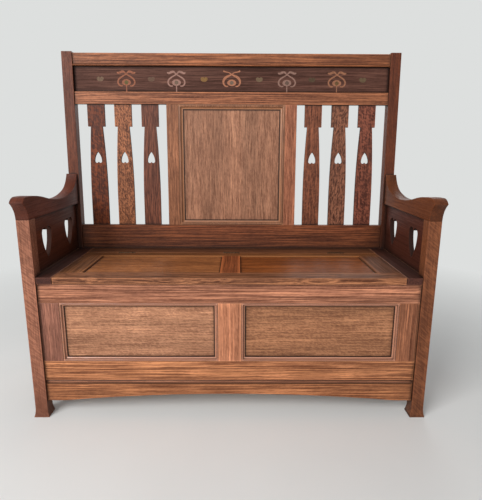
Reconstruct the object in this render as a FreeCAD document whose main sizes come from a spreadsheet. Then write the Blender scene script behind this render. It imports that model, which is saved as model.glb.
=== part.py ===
import FreeCAD, Part
import math
import os

import Sketcher

# An oak settle bench with a box seat under a lift-up lid.
# X runs along the bench, Y runs from front to back, Z is up. The origin lies on the floor under the
# middle of the bench. Lengths are in millimetres and angles in degrees.

SIZES = (
    ("overall_width", 1220, "outer faces of the two front legs"),
    ("leg_square", 38, "front leg, each way"),
    ("post_width", 37, "rear post across the bench"),
    ("post_depth", 36, "rear post from front to back"),
    ("post_inset", 7, "rear post's outer face inside the leg's"),
    ("post_setback", 393.5, "front of the legs to the front of the posts, at the seat"),
    ("rake", 2.4, "lean of the back above the seat, in degrees"),
    ("foot_flare", 4.7, "spread of the spade foot on each side"),
    ("foot_height", 30, "height of the flared part of the foot"),
    ("seat_height", 455, "top of the lid above the floor"),
    ("lid_thickness", 20, "lid and the fixed strips around it"),
    ("arm_rise", 191, "underside of the arm above the seat rails"),
    ("nose_reach", 27, "arm's nose in front of the leg"),
    ("nose_height", 67, "top of the nose above the arm's underside"),
    ("nose_lip", 15, "drop from the top of the nose to its tip"),
    ("cove_height", 49, "top of the cove above the arm's underside"),
    ("cove_reach", 24, "top of the cove in front of the leg"),
    ("shoulder_run", 120, "leg's front to where the arm's top turns hollow"),
    ("shoulder_drop", 14.5, "fall of the arm's top over that run"),
    ("waist_run", 245, "leg's front to the thinnest place of the arm"),
    ("waist_height", 36, "arm's thickness there"),
    ("sweep_run", 60, "front of the post to where the arm starts to sweep up"),
    ("sweep_height", 51, "arm's thickness there"),
    ("horn_height", 108, "upswept end above the arm's underside"),
    ("horn_flat", 4, "flat top of the upswept end"),
    ("arm_panel_thickness", 16, "board under the arm, and the side of the box"),
    ("groove_depth", 8, "grip of a groove on a panel"),
    ("groove_gap", 1, "free space at the bottom of a groove"),
    ("heart_width", 68, "heart in the arm panel"),
    ("heart_height", 98, "heart in the arm panel"),
    ("heart_setback", 97, "back of the leg to the middle of the front heart"),
    ("heart_spread", 182, "middle to middle of the two hearts"),
    ("heart_rise", 51, "tip of the heart above the seat rail"),
    ("rail_thickness", 22, "rails, stiles and muntins"),
    ("seat_rail_height", 60, "rails under the seat"),
    ("bottom_rail_rise", 123, "underside of the bottom rails above the floor"),
    ("bottom_rail_height", 63, "bottom rails"),
    ("tenon_thickness", 10, "tenons of the frame"),
    ("tenon_shoulder", 6, "shoulder above and below a tenon"),
    ("front_tenon", 20, "tenons of the front rails"),
    ("short_tenon", 12, "tenons of the arms, stiles, muntins and apron"),
    ("tenon_clearance", 3, "wood between two tenons that meet in a leg"),
    ("leg_tenon_height", 22, "tenon on top of the front leg"),
    ("leg_tenon_square", 18, "tenon on top of the front leg"),
    ("frame_setback", 7, "front frame behind the legs' front faces"),
    ("front_stile_width", 60, "stiles of the front frame"),
    ("front_muntin_width", 70, "muntin of the front frame"),
    ("front_panel_thickness", 8, "front panels"),
    ("front_moulding_width", 11.5, "moulding around a front panel"),
    ("front_moulding_depth", 10, "depth of the front panels behind the frame's face"),
    ("apron_bead_height", 13.5, "strip between the bottom rail and the apron"),
    ("apron_bead_setback", 3, "strip's edges behind the frame's face"),
    ("apron_bead_radius", 4.5, "half-round bead along the strip"),
    ("apron_height", 57.5, "apron beside the legs"),
    ("apron_thickness", 18, "apron"),
    ("apron_arch_rise", 23, "rise of the apron's arch"),
    ("apron_straight", 55, "level end of the apron's lower edge"),
    ("back_setback", 5, "back rails behind the posts' front faces"),
    ("seat_back_height", 109, "seat back rail above the seat rails"),
    ("seat_back_drop", 45, "seat back rail below the top of the seat rails"),
    ("slat_height", 440, "open height of the slats"),
    ("frieze_rail_height", 42.5, "rail between the slats and the frieze"),
    ("frieze_height", 88.5, "visible frieze board"),
    ("frieze_thickness", 12, "frieze board"),
    ("frieze_setback", 7, "frieze board behind the rails' faces"),
    ("top_rail_height", 43, "top rail of the back"),
    ("top_bead", 3.5, "radius of the bead along the top rail's lower edge"),
    ("post_cap_rise", 4, "posts above the top rail"),
    ("slat_width", 62, "slat at its ends"),
    ("slat_waist", 42, "slat under its top block"),
    ("slat_block_height", 79, "square block at the top of a slat"),
    ("slat_straight", 96, "straight foot of a slat"),
    ("slat_thickness", 10, "slats"),
    ("slat_grip", 8, "slat ends housed in the rails"),
    ("slat_pitch", 98, "slat to slat"),
    ("slat_end_gap", 41, "post to the nearest slat"),
    ("slat_stile_gap", 30, "stile to the nearest slat"),
    ("slat_heart_width", 27, "heart in a slat"),
    ("slat_heart_height", 41, "heart in a slat"),
    ("slat_heart_rise", 230, "bottom of the heart above the seat back rail"),
    ("back_stile_width", 42.5, "stiles of the back"),
    ("back_panel_thickness", 8, "middle panel of the back"),
    ("back_moulding_width", 18, "moulding around the middle panel"),
    ("back_moulding_depth", 8, "depth of the middle panel behind the stiles"),
    ("inlay_depth", 2, "wood inlays let into the frieze"),
    ("motif_pitch", 180, "outer scroll to the next one"),
    ("motif_end_gap", 187, "post to the middle of the outer scroll"),
    ("scroll_half_width", 30, "middle of a scroll to the middle of its strand"),
    ("scroll_drop", 41, "crossing of the strands to the foot of the scroll"),
    ("strand_width", 5.5, "inlaid strands at their widest"),
    ("bud_drop", 28.5, "crossing of the strands to the middle of the bud"),
    ("bud_width", 32, "pale bud in a scroll"),
    ("bud_height", 22, "pale bud in a scroll"),
    ("bud_heart", 14, "tinted disc in the bud"),
    ("stem_width", 3.5, "stem under a bud"),
    ("motif_top", 27, "crossing of the strands below the top rail"),
    ("small_heart_width", 25, "inlaid heart between two scrolls"),
    ("small_heart_height", 16, "inlaid heart between two scrolls"),
    ("box_panel_thickness", 8, "rear board of the box"),
    ("floor_thickness", 12, "floor boards of the box"),
    ("floor_batten", 20, "battens that carry the floor boards"),
    ("floor_gap", 1.5, "gap beside and around the floor boards"),
    ("bearer_square", 25, "bearer under the hinge rail"),
    ("lid_setback", 2, "lid's front edge behind the legs' front faces"),
    ("lid_depth", 315, "lid from front to back"),
    ("fillet_width", 46.5, "fixed strip beside the lid, at the leg"),
    ("lid_side_gap", 1.5, "gap beside the lid"),
    ("lid_rest_gap", 0.3, "gap under the lid"),
    ("lid_front_rail_width", 58, "front rail of the lid"),
    ("lid_back_rail_width", 42, "back rail of the lid"),
    ("lid_stile_width", 71, "side stiles of the lid"),
    ("lid_muntin_width", 63, "muntin of the lid"),
    ("lid_panel_thickness", 8, "panels of the lid"),
    ("lid_panel_recess", 4, "panels below the lid's top"),
    ("lid_tenon_thickness", 7, "tenons of the lid"),
    ("hinge_gap", 4, "gap behind the lid, where the hinges sit"),
    ("hinge_length", 60, "butt hinge along the lid"),
    ("hinge_spread", 380, "middle hinge to an outer hinge"),
    ("knuckle_radius", 3.2, "hinge knuckle"),
    ("knuckle_gap", 0.4, "gap between two knuckles"),
    ("knuckle_recess", 1, "free space around a knuckle"),
    ("pin_radius", 1.5, "hinge pin"),
    ("pin_clearance", 0.05, "hinge pin in the lid's knuckles"),
    ("leaf_thickness", 2, "hinge leaf"),
    ("leaf_height", 18, "hinge leaf below its axis"),
    ("screw_spacing", 36, "two screws of one leaf"),
    ("screw_head_radius", 2.8, "countersunk screw head"),
    ("screw_radius", 1.5, "screw shank"),
    ("screw_length", 14, "screw shank"),
)
HINGES = (-1, 0, 1)
KNUCKLES = 5
FLOOR_BOARDS = 11
SIDES = ("left", "right")

document = FreeCAD.newDocument("settle_bench")
sheet = document.addObject("Spreadsheet::Sheet", "sizes")


class Size:
    """A length or angle, with the sheet expression that it stands for."""

    def __init__(self, value, text):
        self.value = value
        self.text = text

    def __add__(self, other):
        other = as_size(other)
        return Size(self.value + other.value, f"({self.text} + {other.text})")

    def __sub__(self, other):
        other = as_size(other)
        return Size(self.value - other.value, f"({self.text} - {other.text})")

    def __mul__(self, other):
        other = as_size(other)
        return Size(self.value * other.value, f"({self.text} * {other.text})")

    def __truediv__(self, other):
        other = as_size(other)
        return Size(self.value / other.value, f"({self.text} / {other.text})")

    def __neg__(self):
        return Size(-self.value, f"(-1 * {self.text})")

    def __radd__(self, other):
        return as_size(other) + self

    def __rsub__(self, other):
        return as_size(other) - self

    def __rmul__(self, other):
        return as_size(other) * self


def as_size(number):
    """A plain number as a Size."""
    if isinstance(number, Size):
        return number
    return Size(float(number), f"{float(number):.6f}")


def sine(angle):
    """Sine of an angle in degrees."""
    return Size(math.sin(math.radians(angle.value)), f"sin({angle.text})")


def cosine(angle):
    """Cosine of an angle in degrees."""
    return Size(math.cos(math.radians(angle.value)), f"cos({angle.text})")


def tangent(angle):
    """Tangent of an angle in degrees."""
    return Size(math.tan(math.radians(angle.value)), f"tan({angle.text})")


def square_root(number):
    """Square root of a Size."""
    return Size(math.sqrt(number.value), f"sqrt({number.text})")


def level_start_radius(run, rise):
    """Radius of the arc that starts along its run and has risen by `rise` at its end."""
    return (run * run + rise * rise) / (rise * 2)


class SheetSizes:
    """The sheet's values by name."""

    def __init__(self):
        for row, (alias, value, meaning) in enumerate(SIZES, start=1):
            sheet.set(f"A{row}", meaning)
            sheet.set(f"B{row}", str(value))
            sheet.setAlias(f"B{row}", alias)
            setattr(self, alias, Size(float(value), f"sizes.{alias}"))


size = SheetSizes()
document.recompute()

# Places that several pieces share, worked out from the sizes.

half_width = size.overall_width / 2
leg_inner = half_width - size.leg_square
side_plane = half_width - size.leg_square / 2
post_outer = half_width - size.post_inset
post_inner = post_outer - size.post_width
seat_base = size.seat_height - size.lid_thickness
arm_height = seat_base + size.arm_rise
frame_back = size.frame_setback + size.rail_thickness
opening_base = size.bottom_rail_rise + size.bottom_rail_height
opening_top = seat_base - size.seat_rail_height
slat_top = size.seat_back_height + size.slat_height
frieze_base = slat_top + size.frieze_rail_height
top_rail_base = frieze_base + size.frieze_height
back_top = top_rail_base + size.top_rail_height
post_top = back_top + size.post_cap_rise
back_front = size.back_setback
slat_outer = post_inner - size.slat_end_gap - size.slat_width / 2
slat_inner = slat_outer - size.slat_pitch * 2
stile_outer = slat_inner - size.slat_width / 2 - size.slat_stile_gap
panel_half = stile_outer - size.back_stile_width
fillet_inner = leg_inner - size.fillet_width
lid_half = fillet_inner - size.lid_side_gap
lid_back = size.lid_setback + size.lid_depth
hinge_y = lid_back + size.hinge_gap / 2
hinge_rail_front = lid_back + size.hinge_gap
panel_face = side_plane - size.arm_panel_thickness / 2
front_tenon_back = size.frame_setback + (size.rail_thickness + size.tenon_thickness) / 2
side_tenon = size.leg_square - front_tenon_back - size.tenon_clearance
back_tenon = side_plane - size.tenon_thickness / 2 - post_inner
fillet_back = size.post_setback + back_front
lid_base = seat_base + size.lid_rest_gap
floor_top = size.bottom_rail_rise + size.floor_batten + size.floor_thickness

# The middle of the bench from front to back lies over the origin.
rear_reach = size.post_setback + post_top * sine(size.rake) + size.post_depth * cosine(size.rake)
front_y = (size.nose_reach - rear_reach) / 2


def bind(thing, prop, length):
    """Tie a property to the sheet."""
    thing.setExpression(prop, as_size(length).text)


def place(thing, x, y, z, raked=False):
    """Put a thing's own origin at x, y, z, with y counted from the front faces of the front legs.

    Raked places are measured from the post's front face at the seat rails: y straight behind that face
    and z up the slope of the back.
    """
    if raked:
        thing.Placement = FreeCAD.Placement(
            FreeCAD.Vector(), FreeCAD.Rotation(FreeCAD.Vector(-1, 0, 0), size.rake.value)
        )
        bind(thing, ".Placement.Rotation.Angle", size.rake)
        slope_y = as_size(y) * cosine(size.rake) + as_size(z) * sine(size.rake)
        slope_z = as_size(z) * cosine(size.rake) - as_size(y) * sine(size.rake)
        y = size.post_setback + slope_y
        z = seat_base + slope_z
    bind(thing, ".Placement.Base.x", x)
    bind(thing, ".Placement.Base.y", y + front_y)
    bind(thing, ".Placement.Base.z", z)


def block(name, corner, extent, raked=False):
    """A plain block from its low corner and its extent along X, Y and Z."""
    box = document.addObject("Part::Box", name)
    for prop, length in zip(("Length", "Width", "Height"), extent):
        bind(box, prop, length)
    place(box, *corner, raked)
    return box


def rod(name, centre, radius, length, axis):
    """A round rod from the middle of its end, along +X, +Y or -Y."""
    turns = {
        "+X": FreeCAD.Rotation(FreeCAD.Vector(0, 1, 0), 90),
        "+Y": FreeCAD.Rotation(FreeCAD.Vector(1, 0, 0), -90),
        "-Y": FreeCAD.Rotation(FreeCAD.Vector(1, 0, 0), 90),
    }
    cylinder = document.addObject("Part::Cylinder", name)
    bind(cylinder, "Radius", radius)
    bind(cylinder, "Height", length)
    cylinder.Placement = FreeCAD.Placement(FreeCAD.Vector(), turns[axis])
    place(cylinder, *centre)
    return cylinder


def arc_side(start, end, radius, turn):
    """The short arc between two points of an outline, turning left (1) or right (-1)."""
    if turn < 0:
        start, end = end, start
    chord = end - start
    height = math.sqrt(max(radius**2 - (chord.Length / 2) ** 2, 0.0))
    leftward = FreeCAD.Vector(-chord.y, chord.x, 0).normalize()
    centre = start + chord * 0.5 + leftward * height
    first = math.atan2(start.y - centre.y, start.x - centre.x)
    last = math.atan2(end.y - centre.y, end.x - centre.x)
    circle = Part.Circle(centre, FreeCAD.Vector(0, 0, 1), radius)
    return Part.ArcOfCircle(circle, first, last if last > first else last + 2 * math.pi)


def draw(sketch, corners):
    """Draw a closed outline whose corners and arcs are all tied to the sheet.

    A corner is (across, up), or (across, up, radius, turn) where an arc follows it.
    """
    first_side = len(sketch.Geometry)
    points = [FreeCAD.Vector(as_size(c[0]).value, as_size(c[1]).value, 0) for c in corners]
    ends = []
    for index, corner in enumerate(corners):
        start = points[index]
        end = points[(index + 1) % len(points)]
        if len(corner) == 4:
            radius, turn = corner[2], corner[3]
            side = sketch.addGeometry(arc_side(start, end, radius.value, turn))
            ends.append((1, 2) if turn > 0 else (2, 1))
            tie(sketch, Sketcher.Constraint("Radius", side, radius.value), radius)
        else:
            side = sketch.addGeometry(Part.LineSegment(start, end))
            ends.append((1, 2))
        across, up = as_size(corner[0]), as_size(corner[1])
        tie(sketch, Sketcher.Constraint("DistanceX", -1, 1, side, ends[-1][0], across.value), across)
        tie(sketch, Sketcher.Constraint("DistanceY", -1, 1, side, ends[-1][0], up.value), up)
    for index in range(len(corners)):
        following = (index + 1) % len(corners)
        sketch.addConstraint(
            Sketcher.Constraint(
                "Coincident",
                first_side + index,
                ends[index][1],
                first_side + following,
                ends[following][0],
            )
        )


def tie(sketch, constraint, length):
    """Add a constraint whose value follows the sheet."""
    number = sketch.addConstraint(constraint)
    sketch.setExpression(f"Constraints[{number}]", length.text)


def board(name, plane, loops, thickness, corner, raked=False):
    """A board sawn to an outline, with any holes, in the XY, XZ or YZ plane."""
    body = document.addObject("PartDesign::Body", name)
    sketch = body.newObject("Sketcher::SketchObject", f"{name}_outline")
    base = [feature for feature in body.Origin.OriginFeatures if feature.Role == f"{plane}_Plane"]
    sketch.AttachmentSupport = [(base[0], "")]
    sketch.MapMode = "FlatFace"
    for loop in loops:
        draw(sketch, loop)
    pad = body.newObject("PartDesign::Pad", f"{name}_pad")
    pad.Profile = sketch
    pad.Reversed = plane == "XZ"
    bind(pad, "Length", thickness)
    body.Tip = pad
    place(body, *corner, raked)
    return body


def joined(name, things):
    """Several solids as one object."""
    if len(things) == 1:
        return things[0]
    fuse = document.addObject("Part::MultiFuse", name)
    fuse.Shapes = things
    return fuse


def common(name, first, second):
    """What two solids share."""
    shared = document.addObject("Part::Common", name)
    shared.Base = first
    shared.Tool = second
    return shared


def without(name, thing, tools):
    """A solid less its tools."""
    cut = document.addObject("Part::Cut", name)
    cut.Base = thing
    cut.Tool = joined(f"{name}_tools", tools)
    return cut


# Each piece starts as a blank. Tenons are added to it, and mortises and grooves are cut from it, as the
# pieces that fit it are made.

blanks = {}
additions = {}
cuts = {}


def piece(label, blank):
    """Start a piece."""
    blanks[label] = blank
    additions[label] = []
    cuts[label] = []


def tenon(label, block_of_tenon, *receivers):
    """Give a piece a tenon, and the pieces that it enters the mortise for it."""
    additions[label].append(block_of_tenon)
    for receiver in receivers:
        cuts[receiver].append(block_of_tenon)


def cut_from(tool, *labels):
    """Cut a groove or housing from each of these pieces."""
    for label in labels:
        cuts[label].append(tool)


def low_x(side, inner, width):
    """Low X of something whose inner edge lies this far from the middle of the bench."""
    return inner if side == "right" else -(inner + width)


def beside(side, distance):
    """An X place on this side of the bench."""
    return distance if side == "right" else -distance


# Front legs and rear posts.


def footed_outline(width, height):
    """A leg seen from one side: straight, with a hollow flare at the foot."""
    flare = size.foot_flare
    hollow = level_start_radius(size.foot_height, flare)
    return [
        (-flare, 0),
        (width + flare, 0, hollow, -1),
        (width, size.foot_height),
        (width, height),
        (0, height),
        (0, size.foot_height, hollow, -1),
    ]


def make_leg(side):
    """A front leg with its tenon for the arm."""
    label = f"{side}_front_leg"
    square = size.leg_square
    x = low_x(side, leg_inner, square)
    flare = size.foot_flare
    outline = footed_outline(square, arm_height)
    across = board(f"{label}_across", "XZ", [outline], square + flare * 2, (x, -flare, 0))
    deep = board(f"{label}_deep", "YZ", [outline], square + flare * 2, (x - flare, 0, 0))
    piece(label, common(f"{label}_blank", across, deep))


def make_post(side):
    """A rear post: upright below the seat, raked above it."""
    label = f"{side}_rear_post"
    depth = size.post_depth
    flare = size.foot_flare
    hollow = level_start_radius(size.foot_height, flare)
    x = low_x(side, post_inner, size.post_width)
    lean_y = post_top * sine(size.rake)
    lean_z = seat_base + post_top * cosine(size.rake)
    bent = [
        (-flare, 0),
        (depth + flare, 0, hollow, -1),
        (depth, size.foot_height),
        (depth, seat_base - depth * tangent(size.rake / 2)),
        (lean_y + depth * cosine(size.rake), lean_z - depth * sine(size.rake)),
        (lean_y, lean_z),
        (0, seat_base),
        (0, size.foot_height, hollow, -1),
    ]
    reach = rear_reach - size.post_setback + flare * 2
    across = board(
        f"{label}_across",
        "XZ",
        [footed_outline(size.post_width, lean_z)],
        reach,
        (x, size.post_setback - flare, 0),
    )
    deep = board(
        f"{label}_deep", "YZ", [bent], size.post_width + flare * 2, (x - flare, size.post_setback, 0)
    )
    piece(label, common(f"{label}_blank", across, deep))


# Arms, and the boards under them.


def raked_face(height):
    """Y of the post's front face at a height above the seat rails."""
    return size.post_setback + height * tangent(size.rake)


# The sweep of an arm is nearly a quarter circle: its radius as a share of its chord.
SWEEP_RADIUS = 1.15


def make_arm(side):
    """A shaped arm: nosed at the front, waisted, and swept up against the post."""
    label = f"{side}_arm"
    underside = size.arm_rise
    rear_low = raked_face(underside)
    rear_high = raked_face(underside + size.horn_height)
    sweep_y = rear_low - size.sweep_run
    horn_y = rear_high - size.horn_flat
    sweep_chord = square_root(
        (horn_y - sweep_y) * (horn_y - sweep_y)
        + (size.horn_height - size.sweep_height) * (size.horn_height - size.sweep_height)
    )
    shoulder_height = size.nose_height - size.shoulder_drop
    outline = [
        (0, 0),
        (rear_low, 0),
        (rear_high, size.horn_height),
        (horn_y, size.horn_height, sweep_chord * SWEEP_RADIUS, -1),
        (sweep_y, size.sweep_height,
         level_start_radius(sweep_y - size.waist_run, size.sweep_height - size.waist_height), -1),
        (size.waist_run, size.waist_height,
         level_start_radius(size.waist_run - size.shoulder_run, shoulder_height - size.waist_height), -1),
        (size.shoulder_run, shoulder_height,
         level_start_radius(size.shoulder_run, size.shoulder_drop), 1),
        (0, size.nose_height, level_start_radius(size.nose_reach, size.nose_lip), 1),
        (-size.nose_reach, size.nose_height - size.nose_lip),
        (-size.cove_reach, size.cove_height,
         level_start_radius(size.cove_height, size.cove_reach), -1),
    ]
    x = low_x(side, leg_inner, size.leg_square)
    piece(label, board(f"{label}_blank", "YZ", [outline], size.leg_square, (x, 0, arm_height)))
    square = size.leg_tenon_square
    inset = (size.leg_square - square) / 2
    leg_tenon = block(
        f"{side}_leg_tenon", (x + inset, inset, arm_height), (square, square, size.leg_tenon_height)
    )
    tenon(f"{side}_front_leg", leg_tenon, label)
    thickness = size.tenon_thickness
    arm_tenon = block(
        f"{side}_arm_tenon",
        (low_x(side, side_plane - thickness / 2, thickness), -size.tenon_shoulder,
         underside + size.tenon_shoulder),
        (thickness, size.tenon_shoulder + size.short_tenon, size.waist_height),
        raked=True,
    )
    tenon(label, arm_tenon, f"{side}_rear_post")


# A heart, as shares of its width above its widest place: the notch, and the tops of the lobes.
HEART_NOTCH = 0.08
HEART_CROWN = 0.22
HEART_LOBE_RADIUS = 0.27


def heart(middle, tip, width, height, sense):
    """A full-bodied heart with its tip at (middle, tip): point down when sense is 1, up when it is -1."""
    shoulder = height - width * HEART_CROWN
    side_radius = (width * width / 4 + shoulder * shoulder) / width
    lobe_radius = width * HEART_LOBE_RADIUS
    notch = shoulder + width * HEART_NOTCH
    return [
        (middle, tip, side_radius, sense),
        (middle + width / 2, tip + shoulder * sense, lobe_radius, sense),
        (middle, tip + notch * sense, lobe_radius, sense),
        (middle - width / 2, tip + shoulder * sense, side_radius, sense),
    ]


def arm_board_outline(grip):
    """The board under the arm, gripped by this much on all four edges."""
    underside = size.arm_rise
    return [
        (size.leg_square - grip, -grip),
        (size.post_setback + grip, -grip),
        (raked_face(underside + grip) + grip, underside + grip),
        (size.leg_square - grip, underside + grip),
    ]


def make_arm_panel(side):
    """The board under the arm, pierced with two hearts."""
    label = f"{side}_arm_panel"
    thickness = size.arm_panel_thickness
    corner = (low_x(side, panel_face, thickness), 0, seat_base)
    front_middle = size.leg_square + size.heart_setback
    hearts = [
        heart(middle, size.heart_rise, size.heart_width, size.heart_height, 1)
        for middle in (front_middle, front_middle + size.heart_spread)
    ]
    outline = arm_board_outline(size.groove_depth)
    piece(label, board(f"{label}_blank", "YZ", [outline, *hearts], thickness, corner))
    groove_outline = arm_board_outline(size.groove_depth + size.groove_gap)
    groove = board(f"{label}_groove", "YZ", [groove_outline], thickness, corner)
    cut_from(groove, f"{side}_front_leg", f"{side}_rear_post", f"{side}_arm", f"{side}_side_seat_rail")


# Sides of the box.


def make_side_rail(side, name, base, height):
    """A side rail, tenoned into the leg and the post."""
    label = f"{side}_side_{name}_rail"
    thickness = size.rail_thickness
    length = size.post_setback - size.leg_square
    x = low_x(side, side_plane - thickness / 2, thickness)
    piece(label, block(f"{label}_blank", (x, size.leg_square, base), (thickness, length, height)))
    tenon_x = low_x(side, side_plane - size.tenon_thickness / 2, size.tenon_thickness)
    tenon_height = height - size.tenon_shoulder * 2 - size.groove_depth
    ends = (
        ("front_leg", size.leg_square - side_tenon),
        ("rear_post", size.post_setback),
    )
    for end, y in ends:
        stub = block(
            f"{label}_{end}_tenon",
            (tenon_x, y, base + size.tenon_shoulder + size.groove_depth / 2),
            (size.tenon_thickness, side_tenon, tenon_height),
        )
        tenon(label, stub, f"{side}_{end}")


def make_side_panel(side):
    """The side of the box, in grooves of the leg, the post and the two side rails."""
    label = f"{side}_side_panel"
    thickness = size.arm_panel_thickness
    x = low_x(side, panel_face, thickness)
    for name, grip in (("blank", size.groove_depth), ("groove", size.groove_depth + size.groove_gap)):
        solid = block(
            f"{label}_{name}",
            (x, size.leg_square - grip, opening_base - grip),
            (
                thickness,
                size.post_setback - size.leg_square + grip * 2,
                opening_top - opening_base + grip * 2,
            ),
        )
        if name == "blank":
            piece(label, solid)
        else:
            cut_from(
                solid,
                f"{side}_front_leg",
                f"{side}_rear_post",
                f"{side}_side_seat_rail",
                f"{side}_side_bottom_rail",
            )


# Front of the box.


def make_front_rail(label, base, height):
    """A front rail, tenoned into both legs."""
    thickness = size.rail_thickness
    blank = block(
        f"{label}_blank", (-leg_inner, size.frame_setback, base), (leg_inner * 2, thickness, height)
    )
    piece(label, blank)
    tenon_y = size.frame_setback + (thickness - size.tenon_thickness) / 2
    for side in SIDES:
        stub = block(
            f"{label}_{side}_tenon",
            (low_x(side, leg_inner, size.front_tenon), tenon_y, base + size.tenon_shoulder),
            (size.front_tenon, size.tenon_thickness, height - size.tenon_shoulder * 2),
        )
        tenon(label, stub, f"{side}_front_leg")


def make_front_upright(label, x, width):
    """A stile or muntin, tenoned into both front rails."""
    height = opening_top - opening_base
    piece(
        label,
        block(f"{label}_blank", (x, size.frame_setback, opening_base), (width, size.rail_thickness, height)),
    )
    shoulder = size.groove_depth + size.tenon_shoulder
    tenon_y = size.frame_setback + (size.rail_thickness - size.tenon_thickness) / 2
    ends = (
        ("front_bottom_rail", opening_base - size.short_tenon),
        ("front_top_rail", opening_top),
    )
    for rail, z in ends:
        stub = block(
            f"{label}_{rail}_tenon",
            (x + shoulder, tenon_y, z),
            (width - shoulder * 2, size.tenon_thickness, size.short_tenon),
        )
        tenon(label, stub, rail)


def make_front_panel(side):
    """A front panel, in grooves of the frame."""
    label = f"front_{side}_panel"
    inner = size.front_muntin_width / 2
    width = leg_inner - size.front_stile_width - inner
    y = size.frame_setback + size.front_moulding_depth
    slack = size.groove_gap
    for name, grip in (("blank", size.groove_depth), ("groove", size.groove_depth + slack)):
        solid = block(
            f"{label}_{name}",
            (low_x(side, inner - grip, width + grip * 2), y, opening_base - grip),
            (width + grip * 2, size.front_panel_thickness, opening_top - opening_base + grip * 2),
        )
        if name == "blank":
            piece(label, solid)
        else:
            cut_from(
                solid,
                "front_top_rail",
                "front_bottom_rail",
                f"front_{side}_stile",
                "front_centre_muntin",
            )


# The section of a moulding: shares of its width in from the frame, and of its depth up from the panel.
MOULDING_QUIRK = (0.1, 0.82)
MOULDING_BEAD = (0.3, 1.0)
MOULDING_BEAD_END = (0.5, 0.82)
MOULDING_HOLLOW = ((0.58, 0.6), (0.72, 0.4))
MOULDING_LIP = (0.92, 0.3)


def moulding_section(start, inward, width, depth):
    """The cross-section of a moulding: a quirk, a bead, a hollow and a thin lip."""

    def point(reach, rise):
        return start + inward * (reach * width) - FreeCAD.Vector(0, rise * depth, 0)

    foot = point(0, 0)
    side = point(0, MOULDING_QUIRK[1])
    quirk = point(*MOULDING_QUIRK)
    bead_end = point(*MOULDING_BEAD_END)
    lip = point(*MOULDING_LIP)
    toe = point(MOULDING_LIP[0], 0)
    hollow = Part.BSplineCurve()
    hollow.interpolate([bead_end, *[point(*place) for place in MOULDING_HOLLOW], lip])
    edges = [
        Part.makeLine(foot, side),
        Part.makeLine(side, quirk),
        Part.Arc(quirk, point(*MOULDING_BEAD), bead_end).toShape(),
        hollow.toShape(),
        Part.makeLine(lip, toe),
        Part.makeLine(toe, foot),
    ]
    return Part.Face(Part.Wire(edges))


def mitred_mouldings(left, right, low, high, width, depth):
    """Four strips around an opening in the XZ plane, mitred at the corners."""
    corners = [
        FreeCAD.Vector(left, depth, low),
        FreeCAD.Vector(right, depth, low),
        FreeCAD.Vector(right, depth, high),
        FreeCAD.Vector(left, depth, high),
    ]
    strips = []
    for index, start in enumerate(corners):
        end = corners[(index + 1) % 4]
        along = (end - start).normalize()
        inward = FreeCAD.Vector(0, -1, 0).cross(along)
        strip = moulding_section(start, inward, width, depth).extrude(end - start)
        mitred = Part.makePolygon(
            [start, end, end + (inward - along) * width, start + (inward + along) * width, start]
        )
        mitre = Part.Face(mitred).extrude(FreeCAD.Vector(0, -depth, 0))
        strips += strip.common(mitre).Solids
    return strips


def shaped(label, solids, corner, raked=False):
    """A piece, or a group of like pieces, made directly from solids."""
    feature = document.addObject("Part::Feature", f"{label}_shape")
    feature.Shape = solids[0] if len(solids) == 1 else Part.makeCompound(solids)
    place(feature, *corner, raked)
    piece(label, feature)
    return feature


def make_front_mouldings():
    """The mitred strips around the two front panels."""
    inner = (size.front_muntin_width / 2).value
    outer = (leg_inner - size.front_stile_width).value
    strips = []
    for left, right in ((-outer, -inner), (inner, outer)):
        strips += mitred_mouldings(
            left,
            right,
            opening_base.value,
            opening_top.value,
            size.front_moulding_width.value,
            size.front_moulding_depth.value,
        )
    shaped("front_panel_mouldings", strips, (0, size.frame_setback, 0))


def make_apron():
    """The beaded strip under the bottom rail, and the arched apron under that."""
    bead_top = size.bottom_rail_rise
    middle = size.apron_bead_height / 2
    half_bead = size.apron_bead_radius * 0.8
    section = [
        (0, 0),
        (size.apron_thickness - size.apron_bead_setback, 0),
        (size.apron_thickness - size.apron_bead_setback, size.apron_bead_height),
        (0, size.apron_bead_height),
        (0, middle + half_bead, size.apron_bead_radius, 1),
        (0, middle - half_bead),
    ]
    strip = board(
        "front_apron_bead_blank",
        "YZ",
        [section],
        leg_inner * 2,
        (
            -leg_inner,
            size.frame_setback + size.apron_bead_setback,
            bead_top - size.apron_bead_height,
        ),
    )
    piece("front_apron_bead", strip)
    chord_half = leg_inner - size.apron_straight
    outline = [
        (-leg_inner, 0),
        (-chord_half, 0, level_start_radius(chord_half, size.apron_arch_rise), -1),
        (chord_half, 0),
        (leg_inner, 0),
        (leg_inner, size.apron_height),
        (-leg_inner, size.apron_height),
    ]
    base = bead_top - size.apron_bead_height - size.apron_height
    corner = (0, size.frame_setback, base)
    piece("front_apron", board("front_apron_blank", "XZ", [outline], size.apron_thickness, corner))
    tenon_y = size.frame_setback + (size.apron_thickness - size.tenon_thickness) / 2
    for side in SIDES:
        stub = block(
            f"front_apron_{side}_tenon",
            (low_x(side, leg_inner, size.short_tenon), tenon_y, base + size.tenon_shoulder),
            (size.short_tenon, size.tenon_thickness, size.apron_height - size.tenon_shoulder * 2),
        )
        tenon("front_apron", stub, f"{side}_front_leg")


# The back.


def add_back_tenons(label, low, high):
    """Give a back rail a tenon for each post."""
    thickness = size.tenon_thickness
    y = back_front + (size.rail_thickness - thickness) / 2
    for side in SIDES:
        stub = block(
            f"{label}_{side}_tenon",
            (low_x(side, post_inner, back_tenon), y, low + size.tenon_shoulder),
            (back_tenon, thickness, high - low - size.tenon_shoulder * 2),
            raked=True,
        )
        tenon(label, stub, f"{side}_rear_post")


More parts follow.
